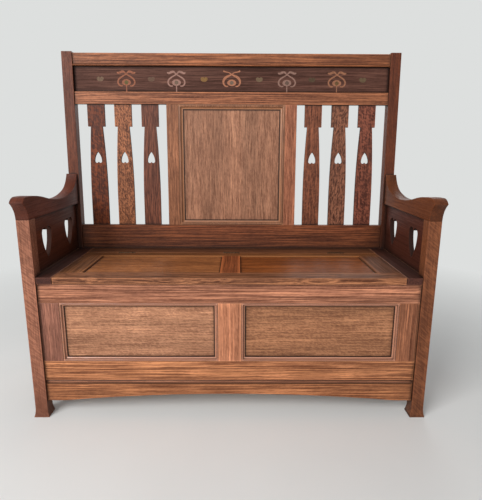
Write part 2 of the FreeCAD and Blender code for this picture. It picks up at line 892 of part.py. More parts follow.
def make_back_rail(label, low, high):
    """A plain rail of the back."""
    blank = block(
        f"{label}_blank",
        (-post_inner, back_front, low),
        (post_inner * 2, size.rail_thickness, high - low),
        raked=True,
    )
    piece(label, blank)
    add_back_tenons(label, low, high)


def make_top_rail():
    """The top rail, with a bead along its lower front edge."""
    label = "back_top_rail"
    bead = size.top_bead
    section = [
        (0, 0),
        (size.rail_thickness, 0),
        (size.rail_thickness, size.top_rail_height),
        (0, size.top_rail_height),
        (0, bead * 2, bead * 1.02, 1),
    ]
    corner = (-post_inner, back_front, top_rail_base)
    piece(label, board(f"{label}_blank", "YZ", [section], post_inner * 2, corner, raked=True))
    add_back_tenons(label, top_rail_base + bead * 2, back_top)


def make_frieze():
    """The frieze board, in grooves of the two rails and the posts."""
    label = "frieze_board"
    y = back_front + size.frieze_setback
    for name, grip in (("blank", size.groove_depth), ("groove", size.groove_depth + size.groove_gap)):
        solid = block(
            f"{label}_{name}",
            (-(post_inner + grip), y, frieze_base - grip),
            ((post_inner + grip) * 2, size.frieze_thickness, size.frieze_height + grip * 2),
            raked=True,
        )
        if name == "blank":
            piece(label, solid)
        else:
            cut_from(
                solid, "frieze_lower_rail", "back_top_rail", "left_rear_post", "right_rear_post"
            )


def make_slat(number):
    """A back slat: waisted under a square block, and pierced with an upturned heart."""
    label = f"back_slat_{number}"
    place_in_half = (number - 1) % 3
    if number <= 3:
        middle = -(slat_outer - size.slat_pitch * place_in_half)
    else:
        middle = slat_inner + size.slat_pitch * place_in_half
    half = size.slat_width / 2
    waist = size.slat_waist / 2
    grip = size.slat_grip
    block_base = size.slat_height - size.slat_block_height
    taper = level_start_radius(block_base - size.slat_straight, half - waist)
    outline = [
        (-half, -grip),
        (half, -grip),
        (half, size.slat_straight, taper, 1),
        (waist, block_base),
        (half, block_base),
        (half, size.slat_height + grip),
        (-half, size.slat_height + grip),
        (-half, block_base),
        (-waist, block_base, taper, 1),
        (-half, size.slat_straight),
    ]
    tip = size.slat_heart_rise + size.slat_heart_height
    piercing = heart(0, tip, size.slat_heart_width, size.slat_heart_height, -1)
    y = back_front + (size.rail_thickness - size.slat_thickness) / 2
    corner = (middle, y, size.seat_back_height)
    blank = board(
        f"{label}_blank", "XZ", [outline, piercing], size.slat_thickness, corner, raked=True
    )
    piece(label, blank)
    housings = (
        ("seat_back_rail", size.seat_back_height - grip),
        ("frieze_lower_rail", slat_top),
    )
    for rail, low in housings:
        housing = block(
            f"{label}_{rail}_housing",
            (middle - half, y, low),
            (size.slat_width, size.slat_thickness, grip),
            raked=True,
        )
        cut_from(housing, rail)


def make_back_stile(side):
    """A stile beside the middle panel of the back."""
    label = f"back_{side}_stile"
    width = size.back_stile_width
    x = low_x(side, panel_half, width)
    blank = block(
        f"{label}_blank",
        (x, back_front, size.seat_back_height),
        (width, size.rail_thickness, size.slat_height),
        raked=True,
    )
    piece(label, blank)
    shoulder = size.groove_depth + size.groove_gap
    y = back_front + (size.rail_thickness - size.tenon_thickness) / 2
    ends = (
        ("seat_back_rail", size.seat_back_height - size.short_tenon),
        ("frieze_lower_rail", slat_top),
    )
    for rail, low in ends:
        stub = block(
            f"{label}_{rail}_tenon",
            (x + shoulder, y, low),
            (width - shoulder * 2, size.tenon_thickness, size.short_tenon),
            raked=True,
        )
        tenon(label, stub, rail)


def make_back_panel():
    """The middle panel of the back and the mitred moulding around it."""
    label = "back_centre_panel"
    y = back_front + size.back_moulding_depth
    for name, grip in (("blank", size.groove_depth), ("groove", size.groove_depth + size.groove_gap)):
        solid = block(
            f"{label}_{name}",
            (-(panel_half + grip), y, size.seat_back_height - grip),
            ((panel_half + grip) * 2, size.back_panel_thickness, size.slat_height + grip * 2),
            raked=True,
        )
        if name == "blank":
            piece(label, solid)
        else:
            cut_from(
                solid, "seat_back_rail", "frieze_lower_rail", "back_left_stile", "back_right_stile"
            )
    strips = mitred_mouldings(
        -panel_half.value,
        panel_half.value,
        0,
        size.slat_height.value,
        size.back_moulding_width.value,
        size.back_moulding_depth.value,
    )
    shaped("back_panel_moulding", strips, (0, back_front, size.seat_back_height), raked=True)


def make_box_back():
    """The bottom rail and the board at the back of the box."""
    label = "back_bottom_rail"
    y = size.post_setback + back_front
    piece(
        label,
        block(
            f"{label}_blank",
            (-post_inner, y, size.bottom_rail_rise),
            (post_inner * 2, size.rail_thickness, size.bottom_rail_height),
        ),
    )
    tenon_y = y + (size.rail_thickness - size.tenon_thickness) / 2
    for side in SIDES:
        stub = block(
            f"{label}_{side}_tenon",
            (
                low_x(side, post_inner, back_tenon),
                tenon_y,
                size.bottom_rail_rise + size.tenon_shoulder,
            ),
            (
                back_tenon,
                size.tenon_thickness,
                size.bottom_rail_height - size.tenon_shoulder * 2,
            ),
        )
        tenon(label, stub, f"{side}_rear_post")
    rail_low = (
        seat_base
        - size.seat_back_drop * cosine(size.rake)
        - (back_front + size.rail_thickness) * sine(size.rake)
    )
    panel_y = y + (size.rail_thickness - size.box_panel_thickness) / 2
    for name, grip in (("blank", size.groove_depth), ("groove", size.groove_depth + size.groove_gap)):
        top_gap = size.groove_gap if name == "blank" else 0
        solid = block(
            f"box_back_panel_{name}",
            (-(post_inner + grip), panel_y, opening_base - grip),
            (
                (post_inner + grip) * 2,
                size.box_panel_thickness,
                rail_low - top_gap - opening_base + grip,
            ),
        )
        if name == "blank":
            piece("box_back_panel", solid)
        else:
            cut_from(solid, "back_bottom_rail", "left_rear_post", "right_rear_post")


# Inlays of the frieze, measured in its own plane: across, and up from the crossing of the strands.


def slab(edges, depth):
    """A flat inlay of this depth from its outline."""
    return Part.Face(Part.Wire(edges)).extrude(FreeCAD.Vector(0, depth, 0))


def flat(across, up):
    """A point of the frieze's face."""
    return FreeCAD.Vector(across, 0, up)


def heart_slab(width, height, depth):
    """A small inlaid heart with its tip at the bottom."""
    corners = heart(as_size(0), as_size(0), width, height, 1)
    points = [FreeCAD.Vector(across.value, up.value, 0) for across, up, _, _ in corners]
    upright = FreeCAD.Rotation(FreeCAD.Vector(1, 0, 0), 90)
    edges = []
    for index, (_, _, radius, turn) in enumerate(corners):
        side = arc_side(points[index], points[(index + 1) % len(points)], radius.value, turn)
        edge = side.toShape()
        edge.Placement = FreeCAD.Placement(FreeCAD.Vector(), upright)
        edges.append(edge)
    return slab(edges, depth)


# The strand on one side of a scroll, from its tail over the crossing to its curled foot: across as a share
# of the scroll's half width, up as a share of its drop, and the strand's thickness there as a share of its
# width. The outer scrolls have a broad leaf for a tail, and the middle one a thin tail with a knob.
LEAFED_STRAND = (
    (-1.1, 0.14, 0.7),
    (-0.85, 0.1, 1.3),
    (-0.58, 0.18, 1.4),
    (-0.3, 0.2, 1.2),
    (-0.08, 0.05, 0.8),
    (0.12, -0.06, 0.75),
    (0.42, -0.18, 0.85),
    (0.8, -0.37, 1.0),
    (1.0, -0.63, 1.0),
    (0.9, -0.88, 0.95),
    (0.66, -0.99, 0.8),
    (0.42, -0.96, 0.6),
)
KNOBBED_STRAND = (
    (-1.0, 0.3, 1.3),
    (-0.84, 0.24, 0.8),
    (-0.6, 0.2, 0.6),
    (-0.34, 0.16, 0.6),
    (-0.1, 0.05, 0.7),
    (0.14, -0.05, 0.9),
    (0.5, -0.16, 1.4),
    (0.86, -0.36, 1.5),
    (1.0, -0.62, 1.2),
    (0.9, -0.87, 0.95),
    (0.66, -0.99, 0.8),
    (0.42, -0.96, 0.5),
)


def strand(way, depth, shares):
    """An inlaid strand of changing width along a smooth line."""
    across = size.scroll_half_width.value * way
    drop = size.scroll_drop.value
    line = [flat(x * across, z * drop) for x, z, _ in shares]
    rims = ([], [])
    for index, here in enumerate(line):
        ahead = line[min(index + 1, len(line) - 1)] - line[max(index - 1, 0)]
        sideways = flat(-ahead.z, ahead.x).normalize() * (shares[index][2] * size.strand_width.value / 2)
        rims[0].append(here + sideways)
        rims[1].append(here - sideways)
    edges = []
    for rim in rims:
        curve = Part.BSplineCurve()
        curve.interpolate(rim)
        edges.append(curve.toShape())
    edges.append(Part.makeLine(rims[0][0], rims[1][0]))
    edges.append(Part.makeLine(rims[0][-1], rims[1][-1]))
    return slab(Part.__sortEdges__(edges), depth)


def disc(up, radius, depth):
    """A round inlay."""
    return Part.makeCylinder(radius, depth, flat(0, up), FreeCAD.Vector(0, 1, 0))


def make_inlays():
    """The inlaid scrolls, buds and small hearts, and the frieze board's recesses for them."""
    depth = size.inlay_depth.value
    bud_centre = -size.bud_drop.value
    heart_of_bud = size.bud_heart.value / 2
    outline = Part.Ellipse(
        flat(size.bud_width.value / 2, bud_centre),
        flat(0, bud_centre + size.bud_height.value / 2),
        flat(0, bud_centre),
    )
    bud = slab([outline.toShape()], depth).cut(disc(bud_centre, heart_of_bud, depth))
    stem_foot = size.motif_top.value - size.frieze_height.value
    stem_top = bud_centre - (size.bud_height.value / 2 + heart_of_bud) / 2
    stem_width = size.stem_width.value
    stem = Part.makeBox(stem_width, depth, stem_top - stem_foot, flat(-stem_width / 2, stem_foot))
    left, right = (strand(way, depth, LEAFED_STRAND) for way in (-1, 1))
    outer_scroll = left.multiFuse([right, bud, stem])
    left, right = (strand(way, depth, KNOBBED_STRAND) for way in (-1, 1))
    middle_scroll = left.multiFuse([right, bud])
    crossing = (size.frieze_height - size.motif_top).value
    outer = (post_inner - size.motif_end_gap).value
    inner = outer - size.motif_pitch.value
    motif_places = (-outer, -inner, 0, inner, outer)
    scrolls = []
    buds = []
    for across in motif_places:
        offset = flat(across, crossing)
        scroll = outer_scroll if across else middle_scroll
        scrolls += scroll.translated(offset).Solids
        buds.append(disc(bud_centre, heart_of_bud, depth).translated(offset))
    small_heart = heart_slab(size.small_heart_width, size.small_heart_height, depth)
    ends = (outer + post_inner.value) / 2
    between = (outer + inner) / 2
    heart_places = (-ends, -between, -inner / 2, inner / 2, between, ends)
    heart_base = (size.frieze_height - size.small_heart_height).value / 2
    hearts = [small_heart.translated(flat(across, heart_base)) for across in heart_places]
    corner = (0, back_front + size.frieze_setback, frieze_base)
    groups = (
        ("frieze_inlay_scrolls", scrolls),
        ("frieze_inlay_buds_and_hearts", buds + hearts),
    )
    for label, solids in groups:
        cut_from(shaped(label, solids, corner, raked=True), "frieze_board")


# Floor of the box, and the fixed strips around the lid.


def make_floor():
    """The floor boards, laid from front to back on two battens.

    The board at each end reaches to the side of the box, notched around the leg and the post.
    """
    back = size.post_setback + back_front
    base = floor_top - size.floor_thickness
    board_width = (post_inner * 2 - size.floor_gap * (FLOOR_BOARDS - 1)) / FLOOR_BOARDS
    boards = []
    for index in range(1, FLOOR_BOARDS - 1):
        x = -post_inner + (board_width + size.floor_gap) * index
        boards.append(
            block(
                f"floor_board_{index + 1}",
                (x, frame_back, base),
                (board_width, back - frame_back, size.floor_thickness),
            )
        )
    inner_edge = post_inner - board_width
    side_edge = side_plane - size.rail_thickness / 2 - size.floor_gap
    beside_leg = leg_inner - size.floor_gap
    behind_leg = size.leg_square + size.floor_gap
    before_post = size.post_setback - size.floor_gap
    edge = [
        (inner_edge, frame_back),
        (beside_leg, frame_back),
        (beside_leg, behind_leg),
        (side_edge, behind_leg),
        (side_edge, before_post),
        (post_inner, before_post),
        (post_inner, back),
        (inner_edge, back),
    ]
    for side in SIDES:
        outline = [(beside(side, across), up) for across, up in edge]
        label = f"floor_{side}_end_board"
        boards.append(board(label, "XY", [outline], size.floor_thickness, (0, 0, base)))
    piece("box_floor_boards", joined("box_floor_boards_set", boards))
    battens = []
    for name, y, half_length in (
        ("front", frame_back, leg_inner),
        ("back", back - size.floor_batten, post_inner),
    ):
        battens.append(
            block(
                f"floor_{name}_batten",
                (-half_length, y, size.bottom_rail_rise),
                (half_length * 2, size.floor_batten, size.floor_batten),
            )
        )
    piece("box_floor_bearers", joined("box_floor_bearers_set", battens))


def make_fillet(side):
    """The fixed strip beside the lid, notched around the leg and the post."""
    label = f"seat_{side}_fillet"
    edge = [
        (leg_inner, size.lid_setback),
        (fillet_inner, size.lid_setback),
        (fillet_inner, fillet_back),
        (post_inner, fillet_back),
        (post_inner, size.post_setback),
        (panel_face, size.post_setback),
        (panel_face, size.leg_square),
        (leg_inner, size.leg_square),
    ]
    outline = [(beside(side, across), up) for across, up in edge]
    piece(label, board(f"{label}_blank", "XY", [outline], size.lid_thickness, (0, 0, seat_base)))


def make_hinge_rail():
    """The fixed strip behind the lid, and the bearer under it."""
    piece(
        "seat_hinge_rail",
        block(
            "seat_hinge_rail_blank",
            (-fillet_inner, hinge_rail_front, seat_base),
            (fillet_inner * 2, fillet_back - hinge_rail_front, size.lid_thickness),
        ),
    )
    piece(
        "hinge_rail_bearer",
        block(
            "hinge_rail_bearer_blank",
            (-post_inner, back_front - size.bearer_square, -(size.bearer_square + size.groove_gap)),
            (post_inner * 2, size.bearer_square, size.bearer_square),
            raked=True,
        ),
    )


# The lid.

lid_height = size.seat_height - lid_base
lid_panel_front = size.lid_setback + size.lid_front_rail_width
lid_panel_back = lid_back - size.lid_back_rail_width


def make_lid_frame():
    """The two long rails of the lid, and the stiles and muntin between them."""
    rails = (
        ("lid_front_rail", size.lid_setback, size.lid_front_rail_width),
        ("lid_back_rail", lid_panel_back, size.lid_back_rail_width),
    )
    for label, y, width in rails:
        piece(label, block(f"{label}_blank", (-lid_half, y, lid_base), (lid_half * 2, width, lid_height)))
    stile = size.lid_stile_width
    uprights = (
        ("lid_left_stile", -lid_half, stile),
        ("lid_right_stile", lid_half - stile, stile),
        ("lid_centre_muntin", -(size.lid_muntin_width / 2), size.lid_muntin_width),
    )
    length = lid_panel_back - lid_panel_front
    shoulder = size.groove_depth + size.tenon_shoulder
    for label, x, width in uprights:
        piece(label, block(f"{label}_blank", (x, lid_panel_front, lid_base), (width, length, lid_height)))
        ends = (
            ("lid_front_rail", lid_panel_front - size.short_tenon),
            ("lid_back_rail", lid_panel_back),
        )
        for rail, y in ends:
            stub = block(
                f"{label}_{rail}_tenon",
                (x + shoulder, y, lid_base + (lid_height - size.lid_tenon_thickness) / 2),
                (width - shoulder * 2, size.short_tenon, size.lid_tenon_thickness),
            )
            tenon(label, stub, rail)


def make_lid_panel(side):
    """A lid panel, in grooves of the lid's frame."""
    label = f"lid_{side}_panel"
    inner = size.lid_muntin_width / 2
    width = lid_half - size.lid_stile_width - inner
    z = size.seat_height - size.lid_panel_recess - size.lid_panel_thickness
    for name, grip in (("blank", size.groove_depth), ("groove", size.groove_depth + size.groove_gap)):
        solid = block(
            f"{label}_{name}",
            (low_x(side, inner - grip, width + grip * 2), lid_panel_front - grip, z),
            (width + grip * 2, lid_panel_back - lid_panel_front + grip * 2, size.lid_panel_thickness),
        )
        if name == "blank":
            piece(label, solid)
        else:
            cut_from(
                solid, "lid_front_rail", "lid_back_rail", f"lid_{side}_stile", "lid_centre_muntin"
            )


# Butt hinges.


def make_hinge_side(part, owner, way, first_knuckle):
    """One half of the hinges: leaves with their knuckles, and screws; way is 1 behind the axis."""
    leaves = []
    screws = []
    recesses = []
    thickness = size.leaf_thickness
    pitch = size.hinge_length / KNUCKLES
    face = hinge_y + size.hinge_gap / 2 * way
    low_y = face if way > 0 else face - thickness
    clear = size.knuckle_radius + size.knuckle_recess
    for number, step in enumerate(HINGES, start=1):
        middle = size.hinge_spread * step
        start = middle - size.hinge_length / 2
        name = f"{part}_hinge_{number}"
        plate = block(
            f"{name}_plate",
            (start, low_y, size.seat_height - size.leaf_height),
            (size.hinge_length, thickness, size.leaf_height - clear),
        )
        leaves.append(plate)
        for index in range(first_knuckle, KNUCKLES, 2):
            x = start + pitch * index + size.knuckle_gap / 2
            length = pitch - size.knuckle_gap
            neck = block(
                f"{name}_neck_{index}",
                (x, low_y, size.seat_height - clear),
                (length, thickness, clear),
            )
            knuckle = rod(
                f"{name}_knuckle_{index}", (x, hinge_y, size.seat_height), size.knuckle_radius, length, "+X"
            )
            leaves += [neck, knuckle]
        recess = block(
            f"{name}_recess",
            (
                start - size.knuckle_gap,
                hinge_y if way > 0 else hinge_y - clear,
                size.seat_height - clear,
            ),
            (size.hinge_length + size.knuckle_gap * 2, clear, clear),
        )
        recesses += [plate, recess]
        for way_along in (-1, 1):
            x = middle + size.screw_spacing / 2 * way_along
            z = size.seat_height - (size.leaf_height + clear) / 2
            suffix = "a" if way_along < 0 else "b"
            axis = "+Y" if way > 0 else "-Y"
            head = document.addObject("Part::Cone", f"{name}_head_{suffix}")
            bind(head, "Radius1", size.screw_head_radius)
            bind(head, "Radius2", size.screw_radius)
            bind(head, "Height", thickness)
            head.Placement = FreeCAD.Placement(
                FreeCAD.Vector(), FreeCAD.Rotation(FreeCAD.Vector(1, 0, 0), -90 * way)
            )
            place(head, x, face, z)
            shank = rod(
                f"{name}_shank_{suffix}",
                (x, face + thickness * way, z),
                size.screw_radius,
                size.screw_length,
                axis,
            )
            screws.append(joined(f"{name}_screw_{suffix}", [head, shank]))
    leaves_label = f"hinge_{part}_leaves"
    screws_label = f"hinge_{part}_screws"
    piece(leaves_label, joined(f"{leaves_label}_set", leaves))
    piece(screws_label, joined(f"{screws_label}_set", screws))
    all_screws = blanks[screws_label]
    cut_from(all_screws, leaves_label, owner)
    for tool in recesses:
        cut_from(tool, owner)


def make_pins():
    """The hinge pins: tight in the frame's knuckles, free in the lid's."""
    pins = []
    bores = []
    for number, step in enumerate(HINGES, start=1):
        start = (size.hinge_spread * step - size.hinge_length / 2, hinge_y, size.seat_height)
        pins.append(rod(f"hinge_pin_{number}", start, size.pin_radius, size.hinge_length, "+X"))
        bores.append(
            rod(
                f"hinge_bore_{number}",
                start,
                size.pin_radius + size.pin_clearance,
                size.hinge_length,
                "+X",
            )
        )
    piece("hinge_pins", joined("hinge_pins_set", pins))
    cut_from(blanks["hinge_pins"], "hinge_frame_leaves")
    cut_from(joined("hinge_bores", bores), "hinge_lid_leaves")


def finish(label):
    """Join a piece's tenons to it, cut its mortises and give it its name."""
    solid = blanks[label]
    if additions[label]:
        solid = joined(f"{label}_tenoned", [solid, *additions[label]])
    if cuts[label]:
        solid = without(f"{label}_cut", solid, cuts[label])
    solid.Label = label
    return solid


for name_of_side in SIDES:
    make_leg(name_of_side)
    make_post(name_of_side)
for name_of_side in SIDES:
    make_arm(name_of_side)
    make_side_rail(name_of_side, "seat", opening_top, size.seat_rail_height)
    make_side_rail(name_of_side, "bottom", size.bottom_rail_rise, size.bottom_rail_height)
    make_arm_panel(name_of_side)
    make_side_panel(name_of_side)
make_front_rail("front_top_rail", opening_top, size.seat_rail_height)
make_front_rail("front_bottom_rail", size.bottom_rail_rise, size.bottom_rail_height)
for name_of_side in SIDES:
    stile_x = low_x(name_of_side, leg_inner - size.front_stile_width, size.front_stile_width)
    make_front_upright(f"front_{name_of_side}_stile", stile_x, size.front_stile_width)
make_front_upright("front_centre_muntin", -(size.front_muntin_width / 2), size.front_muntin_width)
for name_of_side in SIDES:
    make_front_panel(name_of_side)
make_front_mouldings()
make_apron()
make_back_rail("seat_back_rail", -size.seat_back_drop, size.seat_back_height)
make_back_rail("frieze_lower_rail", slat_top, frieze_base)
make_top_rail()
make_frieze()
for slat_number in range(1, 7):
    make_slat(slat_number)
for name_of_side in SIDES:
    make_back_stile(name_of_side)
make_back_panel()
make_box_back()
make_inlays()
make_floor()
for name_of_side in SIDES:
    make_fillet(name_of_side)
make_hinge_rail()
make_lid_frame()
for name_of_side in SIDES:
    make_lid_panel(name_of_side)
make_hinge_side("frame", "seat_hinge_rail", 1, 0)
make_hinge_side("lid", "lid_back_rail", -1, 1)
make_pins()

sub_parts = [finish(label) for label in blanks]
document.recompute()

faults = [
    f"{thing.Label}: {thing.State}"
    for thing in document.Objects
    if "Invalid" in thing.State or "Error" in thing.State
]
faults += [
    f"{part.Label}: no valid solid"
    for part in sub_parts
    if part.Shape.isNull() or not part.Shape.isValid() or not part.Shape.Solids
]
if faults:
    raise SystemExit("\n".join(faults))

os.makedirs("parts", exist_ok=True)
for part in sub_parts:
    part.Shape.exportStep(f"parts/{part.Label}.step")
print(len(sub_parts), "sub-parts written")
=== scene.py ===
import itertools
import math

import bpy
from mathutils import Matrix, Vector

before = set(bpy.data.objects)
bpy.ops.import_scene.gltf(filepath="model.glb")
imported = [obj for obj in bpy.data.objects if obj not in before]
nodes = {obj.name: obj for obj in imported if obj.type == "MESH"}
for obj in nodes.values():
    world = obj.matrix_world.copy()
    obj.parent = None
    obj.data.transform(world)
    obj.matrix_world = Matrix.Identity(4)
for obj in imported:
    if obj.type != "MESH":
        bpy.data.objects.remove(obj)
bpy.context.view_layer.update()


# The two front legs and the two rear posts are cut from quarter-sawn oak, stained red-brown and waxed.
# Rails are tenoned into all four, and the front legs are tenoned into the arms above them. The posts lean
# back above the seat, and the left leg is darker near the floor.


def linear(hex_colour):
    """An sRGB hex colour as linear red, green, blue and alpha."""
    shares = [int(hex_colour[start:start + 2], 16) / 255 for start in (1, 3, 5)]
    return (*[c / 12.92 if c <= 0.04045 else ((c + 0.055) / 1.055) ** 2.4 for c in shares], 1.0)


def node(tree, kind, inputs=(), **settings):
    """Add a shader node, set it up, and give its sockets values or links, by name or in their order."""
    made = tree.nodes.new(f"ShaderNode{kind}")
    for name, value in settings.items():
        setattr(made, name, value)
    given = inputs if isinstance(inputs, dict) else dict(enumerate(inputs))
    for socket, value in given.items():
        if isinstance(value, bpy.types.NodeSocket):
            tree.links.new(value, made.inputs[socket])
        else:
            made.inputs[socket].default_value = value
    return made


def outward(tree):
    """The way that a face looks, in the directions of the unmoved bench."""
    normal = node(tree, "NewGeometry").outputs["True Normal"]
    turned = node(
        tree, "VectorTransform", [normal], vector_type="NORMAL", convert_from="WORLD", convert_to="OBJECT"
    )
    return turned.outputs["Vector"]


EASED = 0.0012  # metres, the radius that planing and wear leave on an edge
SHARP = math.radians(40)  # a bend sharper than this is an edge
SAME_POINT = 0.00001  # metres, points that lie nearer than this are one


def dress(piece, material, edge=EASED):
    """Give a piece its finish, and ease its edges by this radius."""
    part = nodes[piece]
    for slot in part.material_slots:
        slot.link = "OBJECT"
        slot.material = material
    if edge:
        weld = part.modifiers.new("weld", "WELD")
        weld.merge_threshold = SAME_POINT
        bevel = part.modifiers.new("eased_edges", "BEVEL")
        bevel.width = edge
        bevel.segments = 2
        bevel.limit_method = "ANGLE"
        bevel.angle_limit = SHARP


# Quarter sawing lays the year rings square to the face, so the eye sees straight growth lines along the
# board and pale ray flecks across it. Stain is deepest in the pores, and wax gives a soft, low sheen.

# The pattern is drawn with its growth lines along X, and turned by this for each grain direction.
ALONG = {"X": (0, 0, 0), "Y": (0, 0, math.radians(-90)), "Z": (0, math.radians(90), 0)}
NEXT_BOARD = (0.713, 0.291, 0.457)  # metres in the timber from one board to the next
NOISE_SPAN = (0.3, 0.7)  # nearly all values of the noise lie in it
GROWTH_LINE = 3.2  # mm, about twice too wide, so that it shows
GROWTH_RUN = 240  # mm, how far a growth line keeps its tone
GROWTH_CONTRAST = 0.2  # how far around the middle the growth lines run from dark to pale
SWAY = 200  # mm, from one bend of the growth lines to the next
BAND_WIDTH = 30  # mm, groups of darker and paler years
BAND_RUN = 700  # mm
BAND_TONES = (0.8, 1.18)  # of the board's colour
RAY_SHADE = 0.8  # the wood between ray flecks darkens by this much of what the flecks brighten
PORE_WIDTH = 2.4  # mm, drawn about five times too wide, so that it shows
PORE_LENGTH = 34  # mm
PORE_STAIN = 0.5  # of the dark colour
PORE_DEPTH = 0.0005  # metres
PORE_RELIEF = 0.35  # how strongly that depth shows
CLOUD = 125  # mm, slow changes of tone over a board
CLOUD_STAIN = 0.42  # of the dark colour
DEEP = (0.46, 0.38, 0.33)  # stain left in the open grain, as shares of the board's colour
BRIGHT = (1.62, 1.66, 1.6)  # dense wood and ray flecks, where little stain went in
# Near black: old wax in corners, and painted shade along gaps and at the edges of panels.
OLD_WAX_AND_SHADE = "#140805"
# Painted shade where other boards shelter a board, as under the arms and in the seat corners.
PAINTED_NOOK_SHADE = "#1C0D08"
SAWN_EDGE = "#1F110C"
SAWN_STAIN = 0.8  # how far a sawn edge takes that colour
SHELTER_REACH = 0.12  # metres, how near another board has to be for painted shade to fall on this one
RUBBED_REACH = 0.006  # metres, how far rubbing reaches in from an edge
FOOT_HEIGHT = 0.4  # metres, how far up from the floor the board is darker
WAX_IOR = 1.46
boards = itertools.count(1)


def oak(
    piece, grain, stain, edge=EASED, wood="waxed_oak",
    lines=1.0, waver=0.006, rays=0.35, fleck=(4.5, 17), slant=24, tilt=(0, 1, 1), contrast=1.0,
    wear=0.35, dirt=0.012, nook=0.85, foot=0.0, planed="", ends=0.0, roughness=0.46, polish=0.22,
):
    """Dress a board in stained and waxed quarter-sawn oak, or in the wood named, with its grain on an axis.

    lines, rays and wear are how strongly growth lines, ray flecks and rubbed edges show, and waver is how
    far the growth lines stray, in metres. A fleck's width and length are in mm, and it lies at a slant to
    the grain, in degrees, turned about tilt. contrast drives dark and pale wood further apart. dirt is how
    far old wax reaches out of a corner, in metres. nook is how dark the painted shade is where other boards
    shelter the board, foot how dark it is at the floor, and ends how dark its end grain is. Where planed
    names an axis, the sides that don't look along that axis are sawn edges. polish is how much the wax
    reflects, and edge is the radius of the board's eased edges, in metres.
    """
    number = next(boards)
    material = bpy.data.materials.new(f"{wood}_{piece}")
    material.use_nodes = True
    tree = material.node_tree
    shader = tree.nodes["Principled BSDF"]
    middle = linear(stain)
    dark = (*[c * share ** contrast for c, share in zip(middle, DEEP)], 1.0)
    pale = (*[min(c * share ** contrast, 1.0) for c, share in zip(middle, BRIGHT)], 1.0)
    place = node(tree, "TexCoord").outputs["Object"]
    shift = [number * step for step in NEXT_BOARD]
    board = node(
        tree, "Mapping", {"Vector": place, "Rotation": ALONG[grain], "Location": shift}
    ).outputs["Vector"]

    def streaks(source, run, width, **more):
        """Noise in streaks of this length and width, in mm."""
        stretch = (1000 / run, 1000 / width, 1000 / width)
        scaled = node(tree, "VectorMath", [source, stretch], operation="MULTIPLY").outputs["Vector"]
        return node(tree, "TexNoise", {"Vector": scaled, "Scale": 1.0, **more}).outputs["Fac"]

    def cover(below, above, measure, span, share):
        """Lay one colour over another. The share of it that shows follows a measure over this span."""
        shown = node(tree, "MapRange", [measure, *span, *share]).outputs["Result"]
        return node(tree, "Mix", {0: shown, 6: below, 7: above}, data_type="RGBA").outputs[2]

    # Growth lines bend a little along the board.
    sway = node(tree, "TexNoise", {"Vector": board, "Scale": 1000 / SWAY, "Detail": 1.0}).outputs["Color"]
    bend = node(tree, "VectorMath", [sway, (0, waver, waver)], operation="MULTIPLY").outputs["Vector"]
    bent = node(tree, "VectorMath", [board, bend], operation="ADD").outputs["Vector"]
    growth = streaks(bent, GROWTH_RUN, GROWTH_LINE, Detail=4.0, Roughness=0.6)
    tone = node(tree, "ValToRGB", [growth])
    ramp = tone.color_ramp
    spread = GROWTH_CONTRAST / lines
    ramp.elements[0].position, ramp.elements[0].color = 0.5 - spread, dark
    ramp.elements[1].position, ramp.elements[1].color = 0.5 + spread, pale
    ramp.elements.new(0.5).color = middle

    # Ray flecks are pale ribbons that cross the grain at a slant, with darker wood between them.
    turned = node(
        tree, "VectorRotate", {"Vector": board, "Axis": tilt, "Angle": math.radians(slant)},
        rotation_type="AXIS_ANGLE",
    ).outputs["Vector"]
    fleck_width, fleck_length = fleck
    ribbons = streaks(turned, fleck_length, fleck_width, Detail=2.0, Distortion=0.7)
    colour = cover(tone.outputs["Color"], pale, ribbons, span=(0.5, 0.58), share=(0.0, rays))
    colour = cover(colour, dark, ribbons, span=(0.41, 0.48), share=(rays * RAY_SHADE, 0.0))

    # Pores are short dark strokes along the grain.
    strokes = streaks(bent, PORE_LENGTH, PORE_WIDTH, Detail=1.0)
    pores = node(tree, "MapRange", [strokes, 0.54, 0.66]).outputs["Result"]
    colour = cover(colour, dark, pores, span=(0.0, 1.0), share=(0.0, PORE_STAIN))

    # Groups of years differ in tone, and the tone changes slowly over the whole board.
    years = streaks(bent, BAND_RUN, BAND_WIDTH, Detail=1.0)
    bands = node(tree, "MapRange", [years, *NOISE_SPAN, *BAND_TONES]).outputs["Result"]
    banded = node(tree, "Mix", {0: 1.0, 6: colour, 7: bands}, data_type="RGBA", blend_type="MULTIPLY")
    cloud = node(tree, "TexNoise", {"Vector": board, "Scale": 1000 / CLOUD, "Detail": 3.0}).outputs["Fac"]
    colour = cover(banded.outputs[2], dark, cloud, span=(0.35, 0.75), share=(0.0, CLOUD_STAIN))

    # Old wax stays dark in corners, and edges are rubbed pale. Shade is painted where other boards
    # shelter the wood, and the board is darker towards the floor.
    corner = node(tree, "AmbientOcclusion", {"Distance": dirt}, samples=8).outputs["AO"]
    colour = cover(colour, linear(OLD_WAX_AND_SHADE), corner, span=(0.55, 0.95), share=(1.0, 0.0))
    # Painted shade: the board is darkened where other boards are near and keep the light off.
    shelter = node(tree, "AmbientOcclusion", {"Distance": SHELTER_REACH}, samples=8).outputs["AO"]
    colour = cover(colour, linear(PAINTED_NOOK_SHADE), shelter, span=(0.3, 0.85), share=(nook, 0.0))
    # The board is darker towards the floor, by the share foot.
    height = node(tree, "SeparateXYZ", [place]).outputs["Z"]
    colour = cover(colour, dark, height, span=(0.0, FOOT_HEIGHT), share=(foot, 0.0))
    rubbed = node(tree, "AmbientOcclusion", {"Distance": RUBBED_REACH}, samples=8, inside=True)
    colour = cover(colour, pale, rubbed.outputs["AO"], span=(0.35, 0.85), share=(wear, 0.0))

